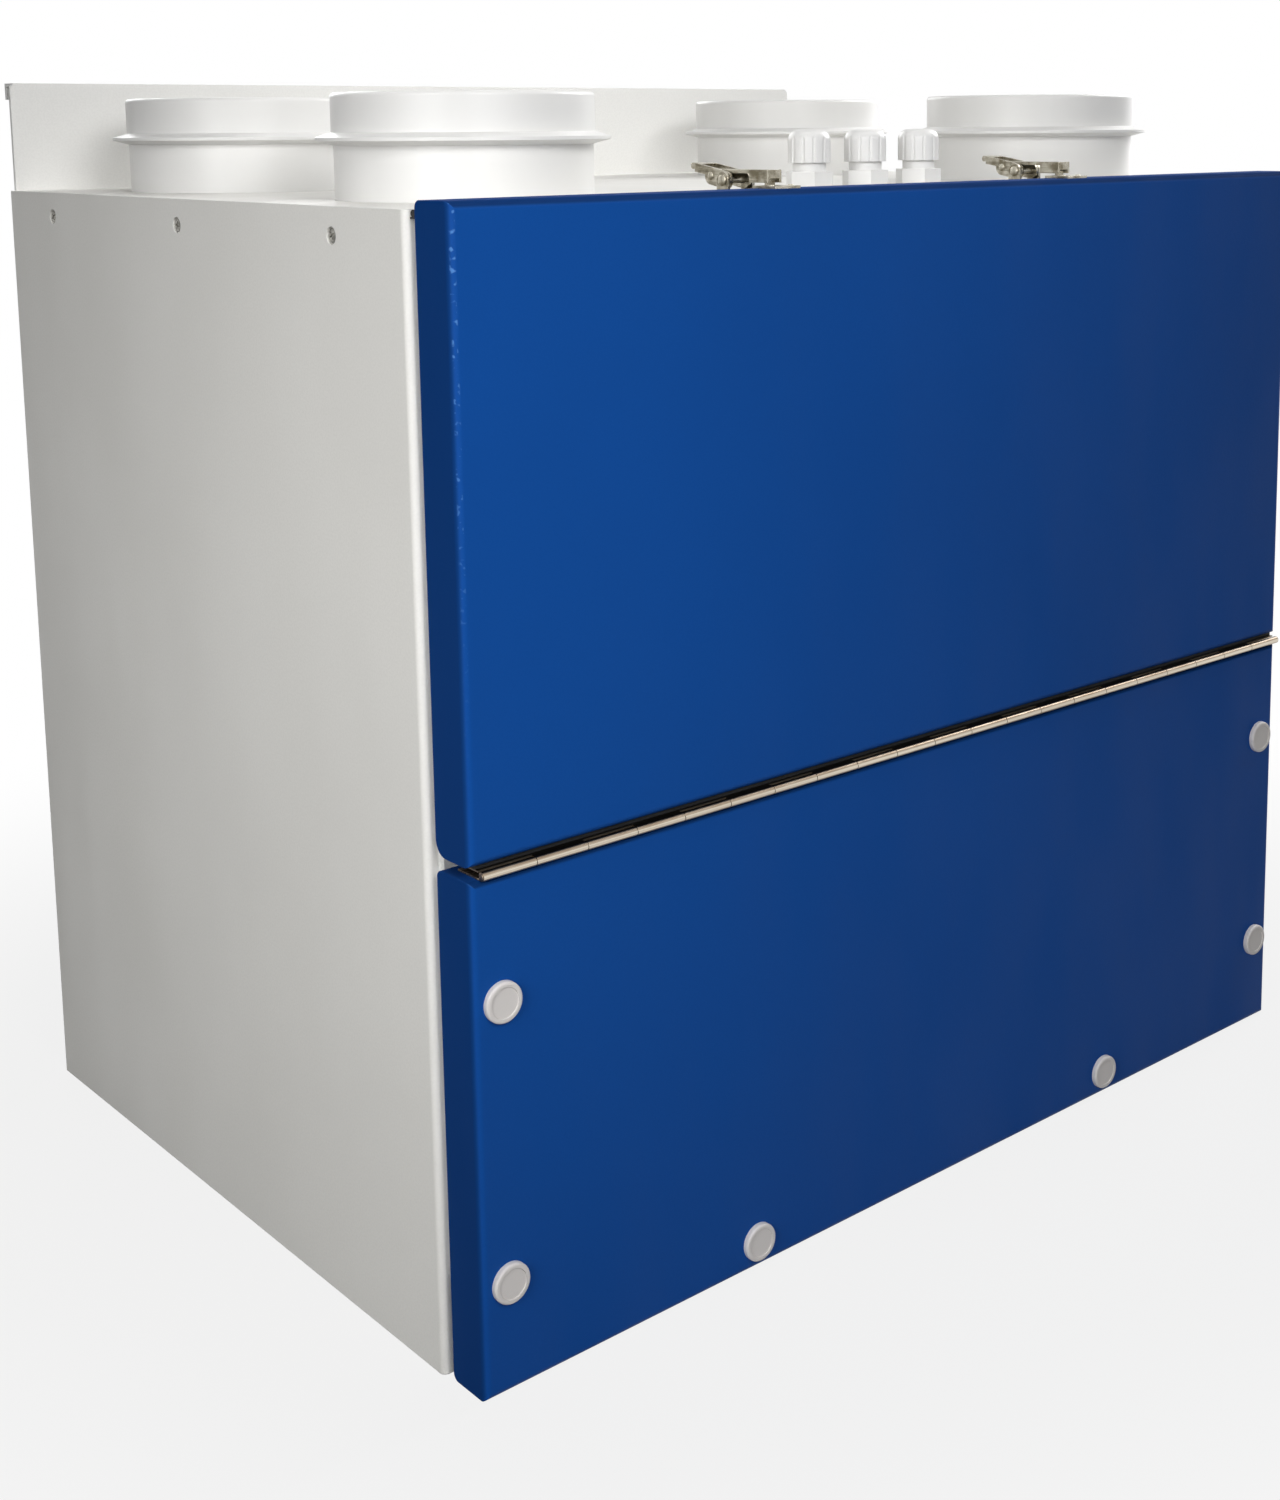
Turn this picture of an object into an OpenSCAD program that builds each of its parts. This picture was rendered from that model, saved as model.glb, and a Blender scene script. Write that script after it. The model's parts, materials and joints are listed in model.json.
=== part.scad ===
// Compact air handling unit: an insulated sheet-steel casing with duct spigots on top,
// a bottom-hinged service door held by two toggle latches, and a fixed lower front panel.
// X runs across the front, Y from front to back, Z up. The origin is under the middle of the box.

/* [Casing] */
// Width across the side panels
casing_w = 598; // [570:1:640]
// Depth of the side panels, front edge to back
casing_d = 414; // [400:1:480]
// Height of the side panels
casing_h = 528; // [510:1:580]
// Thickness of the casing sheets
sheet_t = 1.5; // [1:0.1:2.5]
// Outer radius of the sheet bends
bend_r = 3; // [2.6:0.1:5]
// Thickness of the insulation slabs
foam_t = 25; // [20:1:32]
// Height of the compartment floor above the door seal's lower strip
deck_margin = 1.6; // [1:0.1:10]
// Depth of the deck's front flange
deck_flange = 30; // [26:1:36]
// Edge of insulation left beside a duct opening
foam_edge = 8.5; // [4:0.5:12]
// Radius of the three screw holes along a side panel's top edge
side_hole_r = 4; // [3:0.1:5]
// Drop of these holes below the top edge
side_hole_drop = 13; // [8:0.5:18]
// First hole's distance behind the casing's front
side_hole_front = 60; // [40:1:120]
// Last hole's distance in from the casing's back
side_hole_back = 56; // [40:1:120]

/* [Front panels] */
// Thickness of the door and the lower panel
panel_t = 25.4; // [20:0.1:32]
// Gap between the casing's front edge and the panels
panel_gap = 4.8; // [3:0.1:8]
// Step in from the casing's side to the panel's side
panel_inset = 2.3; // [0:0.1:6]
// Radius of the panel's bends
panel_bend_r = 3.5; // [2.6:0.1:5]
// Radius of the door's lower rear corner
door_heel_r = 7.5; // [4:0.5:10]
// Thickness of the panel sheet
panel_sheet = 1.5; // [1:0.1:2.4]
// Width of the panel's rear lip
panel_lip = 14; // [8:1:20]
// Height of the lower panel
lower_panel_h = 242; // [220:1:244]
// Height of the door above the casing top
door_over = 4; // [2:0.5:8]
// Width of the seal strips
seal_w = 12; // [8:1:16]
// Step in from the panel's side to the seal
seal_inset = 4; // [2:0.5:8]
// Running gap between the seal and the door
seal_clear = 0.3; // [0.2:0.1:1]
// Height of the seal's lower ends
seal_low_z = 48; // [20:1:80]

/* [Hinge] */
// How much shorter the hinge is than the panels are wide
hinge_trim = 5.4; // [5:0.1:60]
// Shift of the hinge to the right
hinge_shift = 3; // [-3:0.5:3]
// Radius of the knuckles
knuckle_r = 2.1; // [1.9:0.05:2.6]
// Radius of the hinge pin
hinge_pin_r = 1.2; // [0.9:0.05:1.4]
// Radial running clearance at every pin
pin_clear = 0.05; // [0.02:0.01:0.1]
// Thickness of the leaves
leaf_t = 0.8; // [0.6:0.05:1]
// Width of the leaves
leaf_w = 18; // [12:1:20]
// Number of knuckles
knuckle_n = 21; // [11:2:31]
// Gap between knuckles
knuckle_gap = 0.4; // [0.3:0.05:1]
// How far the hinge axis stands in front of the panel face
hinge_out = 0.5; // [0.3:0.1:1]
// Thickness of the seal strip under the door
seam_seal_t = 2.2; // [1.5:0.1:4]
// Setback of the seal strip from the panel face
seam_seal_back = 4; // [3.6:0.2:6]

/* [Screw caps] */
// Radius of the caps
cap_r = 9.5; // [7:0.5:12]
// How far the caps stand proud
cap_proud = 3; // [2.8:0.1:5]
// Edge radius of the caps
cap_edge = 1.2; // [0.6:0.1:1.6]
// Width of the caps' raised rim
cap_rim = 2.4; // [1.8:0.1:4]
// Depth of the caps' dished middle
cap_dish = 0.5; // [0.2:0.1:1]
// Side caps, distance in from the panel's side
cap_side_in = 14.7; // [14:0.1:40]
// Upper side caps, height
cap_upper_z = 185; // [160:1:220]
// Lower side caps, height
cap_lower_z = 53; // [40:1:80]
// Bottom caps, distance from the middle
cap_base_x = 134.5; // [100:0.5:180]
// Bottom caps, height
cap_base_z = 14; // [13.5:0.5:24]

/* [Wall bracket] */
// Step in from the casing's side to the bracket's end
bracket_in = 3; // [0:0.5:40]
// Height of the bracket above the casing
bracket_rise = 60; // [40:1:80]
// Height of the bracket's overlap on the back
bracket_lap_h = 90; // [60:1:140]
// Thickness of the bracket
bracket_t = 2; // [1.5:0.1:3]
// Depth of the top fold
bracket_fold = 12; // [8:0.5:20]
// Drop of the fold's rear edge
bracket_drop = 9; // [4:0.5:12]
// Radius of the bracket's upper corners
bracket_corner = 4; // [2:0.5:12]
// Step in from the bracket's end to the fold's end
fold_in = 2; // [1:0.5:8]

/* [Duct spigots] */
// Radius of the duct seat
spigot_r = 62.5; // [50:0.5:66]
// Step from the duct seat in to the neck
spigot_step = 0.9; // [0.4:0.1:1.5]
// Wall of the neck
spigot_wall = 2; // [1.5:0.1:3]
// Height of the spigots above the casing top
spigot_h = 50; // [40:1:70]
// Height of the duct stop's upper edge at the seat
stop_z = 31.5; // [20:0.5:36]
// Reach of the duct stop beyond the seat
stop_reach = 7.5; // [4:0.5:9]
// Thickness of the duct stop at its edge
stop_tip = 1.6; // [1:0.1:3]
// Thickness of the duct stop at its root
stop_root = 6; // [5.5:0.5:12]
// Fall of the duct stop's upper face towards its edge
stop_fall = 2.2; // [0:0.1:2.4]
// Radius of the rounded upper edge
spigot_crown = 2; // [1:0.1:2.4]
// Reach of the flange under the casing top beyond the neck
spigot_flange = 6; // [4:0.5:8]
// Thickness of that flange
spigot_flange_t = 2; // [1.5:0.5:4]
// Spigot axes, distance in from the casing's side
spigot_side_in = 94; // [84:1:98]
// Front spigot axes, distance in from the casing's front
spigot_front_in = 95; // [84:1:110]
// Rear spigot axes, distance in from the casing's back
spigot_rear_in = 99; // [84:1:114]
// Clearance round pieces that pass through a sheet
fit_clear = 0.2; // [0.1:0.05:0.5]

/* [Cable glands] */
// Distance between glands
gland_pitch = 40; // [30:1:46]
// Gland axes, distance behind the casing front
gland_y = 30; // [24:1:40]
// Width of the gland's hexagon across its flats
gland_hex = 21.5; // [18:0.5:26]
// Height of the hexagon
gland_hex_h = 10; // [5:0.5:12]
// Radius of the gland's neck
gland_neck_r = 8.6; // [7:0.1:9]
// Height of the neck
gland_neck_h = 4.5; // [3:0.5:8]
// Radius of the cap nut
gland_nut_r = 11; // [9:0.5:13]
// Height of the cap nut
gland_nut_h = 16.5; // [14:0.5:24]
// Radius of the cable entry
gland_entry_r = 5; // [3:0.5:6]
// Depth of the cable entry above its closed membrane
gland_entry_d = 3; // [2:0.5:6]
// Number of grip flutes
gland_flutes = 12; // [8:1:18]
// Radius of a grip flute
gland_flute_r = 1.1; // [0.8:0.1:1.4]
// Radius of the cap nut's crown
gland_crown_r = 5.5; // [3:0.5:5.5]
// Radius of the stub through the casing top
gland_stub_r = 8; // [6:0.5:9]

/* [Toggle latches] */
// Latch distance from the middle
latch_x = 105.5; // [90:0.5:114]
// Width of the latch base
latch_w = 22; // [20:0.5:26]
// Length of the latch base
latch_base_l = 36; // [34:1:44]
// Setback of the base from the casing front
latch_back = 2; // [1:0.5:8]
// Thickness of the latch plates
latch_t = 1.4; // [1.2:0.1:1.6]
// Distance between the lever's outer faces
lever_w = 13; // [12.5:0.1:13.4]
// Side gap between nested latch pieces
latch_gap = 0.6; // [0.4:0.1:0.8]
// Lever pivot, distance behind the base's front end
pivot_y = 10; // [9:0.5:13]
// Lever pivot, height above the casing top
pivot_z = 7.5; // [7:0.1:8]
// Radius of the lever pivot
pivot_r = 1.5; // [1.2:0.1:1.6]
// Hook pivot, distance behind the lever pivot
hook_y = 11; // [10:0.5:14]
// Hook pivot, height above the lever pivot
hook_z = 2; // [1.5:0.1:2.4]
// Radius of the hook pivot
hook_pin_r = 1.2; // [1:0.1:1.4]
// Radius of the lever round its pivots
lever_boss_r = 4.2; // [3.6:0.1:4.6]
// Length of the lever's handle
handle_l = 9.5; // [9:0.5:24]
// Upward tilt of the handle
handle_tilt = 9; // [8:1:20]
// Radius of the handle's rolled tip
handle_roll = 1.6; // [1.4:0.1:2.2]
// Gap from the hook's eye to the handle's web
web_gap = 2.5; // [2:0.5:5]
// Radius of the hook's eye
hook_eye_r = 3.2; // [2.8:0.1:3.4]
// Thickness of the hook's bar
hook_bar_t = 1.8; // [1.4:0.1:2]
// Height of the hook's claw below its bar
claw_h = 2.2; // [1.6:0.1:2.2]
// Thickness of the hook's side cheeks
cheek_t = 1.2; // [0.8:0.1:1.6]
// Length of the cheeks behind the claw
cheek_l = 13; // [8:0.5:16]
// Height of the cheeks' lower edge above the keeper's plate
cheek_clear = 1.2; // [0.8:0.1:2]
// Lift of the claw over the keeper's lip
claw_clear = 0.9; // [0.8:0.1:1.4]
// Gap between the claw and the keeper's lip, along the bar
claw_gap = 0.8; // [0.5:0.1:1.5]
// Length of the keeper
keeper_l = 16; // [12:0.5:16.5]
// Width of the keeper
keeper_w = 16; // [12:0.5:20]
// Lip distance from the keeper's rear end
keeper_lip_y = 2.5; // [2:0.5:8]

/* [Inside] */
// Height of the exchanger's lower and upper edge off the compartment
core_seat = 11.7; // [8:0.1:30]
// Gap from the exchanger to the compartment's ends
core_end = 20; // [10:1:40]
// Distance from plate to plate of the exchanger
plate_pitch = 8; // [5:0.5:16]
// Width of the air slots between the plates
plate_slot = 3; // [1.5:0.5:4]
// Depth of the air slots
plate_slot_d = 4; // [2:0.5:8]
// Thickness of the exchanger's end plates
end_plate = 10; // [6:1:20]
// Half width of the exchanger's seat rails
rail_half = 16; // [12:1:24]
// Thickness of the filter cassettes
filter_t = 45; // [25:1:48]
// Gap between the exchanger and the filters
filter_gap = 6; // [4:1:12]
// Gap over the filters
filter_top = 6; // [4:1:12]
// Width of the filter's frame
filter_frame = 14; // [8:1:20]
// Setback of the filter's medium inside its frame
filter_dish = 4; // [2:0.5:8]

/* [Hidden] */
$fn = 64;
eps = 0.01;
flange_w = sheet_t + foam_t;
front_reach = panel_gap + panel_t + max(cap_proud, hinge_out + knuckle_r);
back_reach = casing_d + bracket_fold;
// Y of the casing's front plane, with the whole box centred on the origin
front_y = (front_reach - back_reach) / 2;
back_y = front_y + casing_d;
face_y = front_y - panel_gap - panel_t;
half_w = casing_w / 2;
// Y behind the side panels' front bends
bend_y = front_y + bend_r;
panel_w = casing_w - 2 * panel_inset;
hinge_len = panel_w - hinge_trim;
hinge_y = face_y - hinge_out;
hinge_z = lower_panel_h + knuckle_r;
door_z = lower_panel_h + 2 * knuckle_r + seam_seal_t;
door_top = casing_h + door_over;
deck_z = door_z + seal_inset + seal_w + deck_margin;
knuckle_len = hinge_len / knuckle_n;
knuckle_bore = hinge_pin_r + pin_clear;
hinge_x = hinge_shift - hinge_len / 2;
leaf_start = knuckle_r + knuckle_gap;
neck_r = spigot_r - spigot_step;
bore_r = neck_r - spigot_wall;
flange_r = neck_r + spigot_flange;
foam_hole_r = flange_r + fit_clear;
spigot_x = half_w - spigot_side_in;
spigot_rear_y = casing_d - spigot_rear_in;
foam_mid = spigot_x - foam_hole_r - foam_edge;
room_half = half_w - flange_w;
room_top = casing_h - flange_w;
room_back = back_y - flange_w;
room_d = room_back - bend_y;
core_half = (room_top - deck_z) / 2 - core_seat;
core_side = core_half * sqrt(2);
core_z = (deck_z + room_top) / 2;
core_y = bend_y + core_end;
core_l = room_d - 2 * core_end;
filter_x = core_half + filter_gap;
filter_h = room_top - deck_z - filter_top;
latch_y = front_y + latch_back;
lever_y = latch_y + pivot_y;
lever_z = casing_h + pivot_z;
hook_pin_y = lever_y + hook_y;
hook_pin_z = lever_z + hook_z;
bar_z = hook_pin_z + hook_eye_r - hook_bar_t;
claw_z = bar_z - claw_h;
lip_top = claw_z - claw_clear;
keeper_rear = front_y - panel_gap - panel_bend_r - (panel_t - 2 * panel_bend_r - keeper_l) / 2;
lip_y = keeper_rear - keeper_lip_y;
claw_y = lip_y - latch_t - claw_gap - hook_bar_t;
hook_w = lever_w - 2 * latch_t - 2 * latch_gap;
ear_in = lever_w / 2 + latch_gap;
cheek_z = door_top + latch_t + cheek_clear;
lip_half = hook_w / 2 - cheek_t - latch_gap;
cap_side_x = panel_w / 2 - cap_side_in;
bracket_half = half_w - bracket_in;

side_hole_last = casing_d - side_hole_back;
side_holes = [side_hole_front, (side_hole_front + side_hole_last) / 2, side_hole_last];
caps = [
  [-cap_side_x, cap_upper_z], [cap_side_x, cap_upper_z],
  [-cap_side_x, cap_lower_z], [cap_side_x, cap_lower_z],
  [-cap_base_x, cap_base_z], [cap_base_x, cap_base_z]
];
spigots = [
  [-spigot_x, spigot_rear_y], [-spigot_x, spigot_front_in],
  [spigot_x, spigot_rear_y], [spigot_x, spigot_front_in]
];
sides = ["left", "right"];
hands = [-1, 1];
gland_names = ["left", "middle", "right"];
spigot_names = ["left_rear", "left_front", "right_rear", "right_front"];

// Box from its lowest corner to its highest
module span(low, high) {
  translate(low) cube(high - low);
}

// Drawing in the Y-Z plane, extruded along X from x0 to x1
module along_x(x0, x1) {
  translate([x0, 0, 0]) rotate([90, 0, 90]) linear_extrude(x1 - x0) children();
}

// Rectangle with its four corners rounded
module rounded(size, r) {
  translate([r, 0]) square([size[0] - 2 * r, size[1]]);
  translate([0, r]) square([size[0], size[1] - 2 * r]);
  for (x = [r, size[0] - r], y = [r, size[1] - r]) translate([x, y]) circle(r);
}

// Rectangle with only its two front corners rounded
module front_rounded(size, r) {
  translate([r, 0]) square([size[0] - 2 * r, size[1]]);
  translate([0, r]) square([size[0], size[1] - r]);
  for (x = [r, size[0] - r]) translate([x, r]) circle(r);
}

// Quarter disc in the first quadrant
module quarter(r) {
  intersection() {
    circle(r);
    square(r);
  }
}

// Rectangle with rounded corners, the lower rear one with its own radius
module heeled(size, r, heel) {
  difference() {
    rounded(size, r);
    translate([size[0] - heel, -eps]) square([heel + eps, heel + eps]);
  }
  translate([size[0] - heel, heel]) rotate(-90) quarter(heel);
}

// Straight link with a round end at each point
module link(a, b, r) {
  d = b - a;
  translate(a) rotate(atan2(d[1], d[0])) translate([0, -r]) square([norm(d), 2 * r]);
  for (p = [a, b]) translate(p) circle(r);
}

// Side sheet with its front flange bent inwards and screw holes along its top edge
module side_panel(hand) {
  color("gainsboro") translate([hand * half_w, front_y, 0]) mirror([hand > 0 ? 1 : 0, 0, 0])
    difference() {
      linear_extrude(casing_h) side_profile();
      for (y = side_holes) translate([-eps, y, casing_h - side_hole_drop]) rotate([0, 90, 0])
        cylinder(r = side_hole_r, h = sheet_t + 2 * eps, $fn = 32);
    }
}

// Plan of the left side sheet, its outer corner at the origin
module side_profile() {
  translate([0, bend_r]) square([sheet_t, casing_d - bend_r]);
  translate([bend_r, 0]) square([flange_w - bend_r, sheet_t]);
  intersection() {
    translate([bend_r, bend_r]) difference() {
      circle(bend_r);
      circle(bend_r - sheet_t);
    }
    square(bend_r);
  }
}

module back_panel() {
  color("gainsboro") span(
    [-half_w + sheet_t, back_y - sheet_t, sheet_t],
    [half_w - sheet_t, back_y, casing_h - sheet_t]);
}

// Level sheet between the side panels, with its front edge bent down or up to z1
module flanged_sheet(z0, z1, y1) {
  span([-half_w + sheet_t, bend_y, z0], [half_w - sheet_t, y1, z0 + sheet_t]);
  span([-half_w + flange_w, front_y, z0], [half_w - flange_w, bend_y + eps, z0 + sheet_t]);
  span(
    [-half_w + flange_w, front_y, min(z0, z1)],
    [half_w - flange_w, front_y + sheet_t, max(z0 + sheet_t, z1)]);
}

// Top sheet with front and side flanges bent down, pierced for the spigots and glands
module top_panel() {
  color("whitesmoke") difference() {
    union() {
      flanged_sheet(casing_h - sheet_t, room_top, back_y);
      for (h = hands) translate([h * (half_w - sheet_t) - (h + 1) / 2 * sheet_t, 0, 0])
        span([0, bend_y, room_top], [sheet_t, back_y - sheet_t, casing_h - sheet_t]);
    }
    for (s = spigots) translate([s[0], front_y + s[1], room_top])
      cylinder(r = neck_r + fit_clear, h = flange_w + eps);
    for (i = [-1:1]) translate([i * gland_pitch, front_y + gland_y, room_top])
      cylinder(r = gland_stub_r + fit_clear, h = flange_w + eps);
  }
}

module bottom_panel() {
  color("gainsboro") flanged_sheet(0, flange_w, back_y);
}

// Floor of the upper compartment with its front flange bent down
module deck_panel() {
  color("gainsboro") flanged_sheet(deck_z - sheet_t, deck_z - deck_flange, back_y - sheet_t);
}

// The closed lower compartment, one insulated mass behind the fixed panel
module lower_insulation() {
  color("lightgray") span(
    [-half_w + sheet_t, bend_y, sheet_t],
    [half_w - sheet_t, back_y - sheet_t, deck_z - sheet_t]);
}

module side_insulation(hand) {
  color("lightgray") translate([hand * (half_w - sheet_t - foam_t / 2), 0, 0]) span(
    [-foam_t / 2, bend_y, deck_z], [foam_t / 2, room_back, room_top]);
}

module back_insulation() {
  color("lightgray") span(
    [-half_w + sheet_t, room_back, deck_z], [half_w - sheet_t, back_y - sheet_t, room_top]);
}

// Outer part of the top insulation, with the two duct openings of its side
module top_insulation_side(hand) {
  color("lightgray") difference() {
    translate([hand * (foam_mid + half_w - 2 * sheet_t) / 2, 0, 0]) span(
      [-(half_w - 2 * sheet_t - foam_mid) / 2, bend_y, room_top],
      [(half_w - 2 * sheet_t - foam_mid) / 2, back_y - sheet_t, casing_h - sheet_t]);
    for (y = [spigot_front_in, spigot_rear_y]) translate([hand * spigot_x, front_y + y, room_top - eps])
      cylinder(r = foam_hole_r, h = foam_t + 2 * eps);
  }
}

module top_insulation_middle() {
  color("lightgray") span(
    [-foam_mid, bend_y, room_top], [foam_mid, back_y - sheet_t, casing_h - sheet_t]);
}

// Plate on the back with rounded upper corners, its top edge folded backwards and down
module wall_bracket() {
  top = casing_h + bracket_rise;
  plate_h = bracket_rise + bracket_lap_h;
  fold_half = bracket_half - fold_in;
  color("whitesmoke") {
    translate([-bracket_half, back_y + bracket_t, top]) rotate([90, 0, 0]) mirror([0, 1, 0])
      linear_extrude(bracket_t) front_rounded([2 * bracket_half, plate_h], bracket_corner);
    span([-fold_half, back_y, top - bracket_t], [fold_half, back_y + bracket_fold, top]);
    span(
      [-fold_half, back_y + bracket_fold - bracket_t, top - bracket_drop],
      [fold_half, back_y + bracket_fold, top]);
  }
}

// Folded tray panel: bent front edges, rounded side profile and a lip round the open back
module tray_panel(z0, z1, heel) {
  difference() {
    intersection() {
      along_x(-panel_w / 2, panel_w / 2) translate([face_y, z0])
        heeled([panel_t, z1 - z0], panel_bend_r, heel);
      translate([-panel_w / 2, face_y, z0]) linear_extrude(z1 - z0)
        front_rounded([panel_w, panel_t], panel_bend_r);
    }
    tray_room(z0, z1, heel);
    translate([-panel_w / 2 + panel_lip, face_y + panel_t / 2, z0 + panel_lip])
      cube([panel_w - 2 * panel_lip, panel_t, z1 - z0 - 2 * panel_lip]);
  }
}

// Space inside a tray panel
module tray_room(z0, z1, heel) {
  size = [panel_t - 2 * panel_sheet, z1 - z0 - 2 * panel_sheet];
  along_x(-panel_w / 2 + panel_sheet, panel_w / 2 - panel_sheet)
    translate([face_y + panel_sheet, z0 + panel_sheet])
      heeled(size, panel_bend_r - panel_sheet, heel - panel_sheet);
}

module lower_front_panel() {
  color("royalblue") tray_panel(0, lower_panel_h, panel_bend_r);
}

module lower_panel_insulation() {
  color("lightgray") tray_room(0, lower_panel_h, panel_bend_r);
}

module service_door() {
  color("royalblue") tray_panel(door_z, door_top, door_heel_r);
}

module door_insulation() {
  color("lightgray") tray_room(door_z, door_top, door_heel_r);
}

// Seal strips between the casing and the lower panel, open at the bottom
module panel_seal() {
  x = panel_w / 2 - seal_inset;
  color("white") for (h = hands) translate([h * (x - seal_w / 2), 0, 0]) span(
    [-seal_w / 2, front_y - panel_gap, seal_low_z], [seal_w / 2, front_y, lower_panel_h - panel_bend_r]);
}

// Seal ring on the casing's front flanges, against which the door closes
module door_seal() {
  x = panel_w / 2 - seal_inset;
  low = lower_panel_h - panel_bend_r;
  ring_low = door_z + seal_inset;
  high = casing_h - seal_inset;
  color("white") difference() {
    span([-x, front_y - panel_gap + seal_clear, low], [x, front_y, high]);
    span([-x + seal_w, front_y - panel_gap, ring_low + seal_w], [x - seal_w, front_y + eps, high - seal_w]);
    span([-x + seal_w, front_y - panel_gap, low - eps], [x - seal_w, front_y + eps, ring_low]);
  }
}

// Plastic cap over a panel screw, dished in the middle
module screw_cap(i) {
  color("lightgray") translate([caps[i][0], face_y, caps[i][1]]) rotate([90, 0, 0]) rotate_extrude() {
    square([cap_r - cap_rim, cap_proud - cap_dish]);
    translate([cap_r - cap_rim - eps, 0]) square([cap_rim - cap_edge + eps, cap_proud]);
    square([cap_r, cap_proud - cap_edge]);
    translate([cap_r - cap_edge, cap_proud - cap_edge]) circle(cap_edge);
  }
}

// Duct spigot: neck through the casing top, tapered duct stop, duct seat with a rounded edge
module spigot(i) {
  flange_top = -sheet_t;
  stop_r = spigot_r + stop_reach;
  stop_edge = stop_z - stop_fall;
  color("white") translate([spigots[i][0], front_y + spigots[i][1], casing_h]) rotate_extrude($fn = 96) {
    translate([bore_r, flange_top - spigot_flange_t])
      square([spigot_wall, stop_z - flange_top + spigot_flange_t]);
    translate([bore_r, flange_top - spigot_flange_t]) square([flange_r - bore_r, spigot_flange_t]);
    polygon([
      [bore_r + eps, stop_z - stop_root], [neck_r, stop_z - stop_root],
      [stop_r, stop_edge - stop_tip], [stop_r, stop_edge], [spigot_r, stop_z], [bore_r + eps, stop_z]
    ]);
    translate([bore_r, stop_z - eps]) square([spigot_r - bore_r, spigot_h - spigot_crown - stop_z + eps]);
    translate([bore_r, stop_z]) square([spigot_r - bore_r - spigot_crown, spigot_h - stop_z]);
    translate([spigot_r - spigot_crown, spigot_h - spigot_crown]) quarter(spigot_crown);
  }
}

// Cable gland: hexagon, neck and fluted cap nut with a rounded crown and a closed entry
module cable_gland(i) {
  nut_z = gland_hex_h + gland_neck_h;
  top = nut_z + gland_nut_h;
  color("white") translate([i * gland_pitch, front_y + gland_y, casing_h]) difference() {
    union() {
      translate([0, 0, -sheet_t]) cylinder(r = gland_stub_r, h = sheet_t + eps);
      cylinder(r = gland_hex / sqrt(3), h = gland_hex_h, $fn = 6);
      translate([0, 0, gland_hex_h - eps]) cylinder(r = gland_neck_r, h = gland_neck_h + 2 * eps);
      rotate_extrude() {
        translate([0, nut_z]) square([gland_nut_r, gland_nut_h - gland_crown_r]);
        translate([0, nut_z]) square([gland_nut_r - gland_crown_r, gland_nut_h]);
        translate([gland_nut_r - gland_crown_r, top - gland_crown_r]) quarter(gland_crown_r);
      }
    }
    translate([0, 0, top - gland_entry_d]) cylinder(r = gland_entry_r, h = gland_entry_d + eps);
    for (k = [0:gland_flutes - 1]) rotate(k * 360 / gland_flutes)
      translate([gland_nut_r + gland_flute_r / 2, 0, nut_z - eps])
        cylinder(r = gland_flute_r, h = gland_nut_h, $fn = 24);
  }
}

// One hinge leaf: a notched plate with every second knuckle rolled round the pin
module hinge_leaf(first, plate_z) {
  difference() {
    union() {
      translate([hinge_x, hinge_y + leaf_start, hinge_z + plate_z])
        cube([hinge_len, leaf_w - leaf_start, leaf_t]);
      for (k = [first:2:knuckle_n - 1])
        translate([hinge_x + k * knuckle_len + knuckle_gap / 2, hinge_y, hinge_z]) {
          rotate([0, 90, 0]) cylinder(r = knuckle_r, h = knuckle_len - knuckle_gap, $fn = 32);
          translate([0, 0, plate_z]) cube([knuckle_len - knuckle_gap, leaf_start + eps, leaf_t]);
        }
    }
    translate([hinge_x - eps, hinge_y, hinge_z]) rotate([0, 90, 0])
      cylinder(r = knuckle_bore, h = hinge_len + 2 * eps, $fn = 32);
  }
}

module hinge_leaf_fixed() {
  color("silver") hinge_leaf(0, -knuckle_r);
}

module hinge_leaf_moving() {
  color("silver") hinge_leaf(1, knuckle_r - leaf_t);
}

module hinge_pin() {
  color("tan") translate([hinge_x, hinge_y, hinge_z]) rotate([0, 90, 0])
    cylinder(r = hinge_pin_r, h = hinge_len, $fn = 32);
}

// Dark seal strip between the moving leaf and the door's lower edge
module seam_seal() {
  color("dimgray") span(
    [hinge_x, face_y + seam_seal_back, hinge_z + knuckle_r],
    [hinge_x + hinge_len, hinge_y + leaf_w, door_z]);
}

// Latch base: plate on the casing top with two ears and the lever's pivot pin
module latch_base(hand) {
  pin_half = ear_in + latch_t;
  color("silver") translate([hand * latch_x, 0, 0]) {
    span([-latch_w / 2, latch_y, casing_h], [latch_w / 2, latch_y + latch_base_l, casing_h + latch_t]);
    for (h = hands) translate([h * (ear_in + latch_t / 2), 0, 0]) along_x(-latch_t / 2, latch_t / 2) {
      translate([lever_y - lever_boss_r, casing_h]) square([2 * lever_boss_r, pivot_z]);
      translate([lever_y, lever_z]) circle(lever_boss_r);
    }
    translate([-pin_half, lever_y, lever_z]) rotate([0, 90, 0])
      cylinder(r = pivot_r, h = 2 * pin_half, $fn = 32);
  }
}

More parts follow.
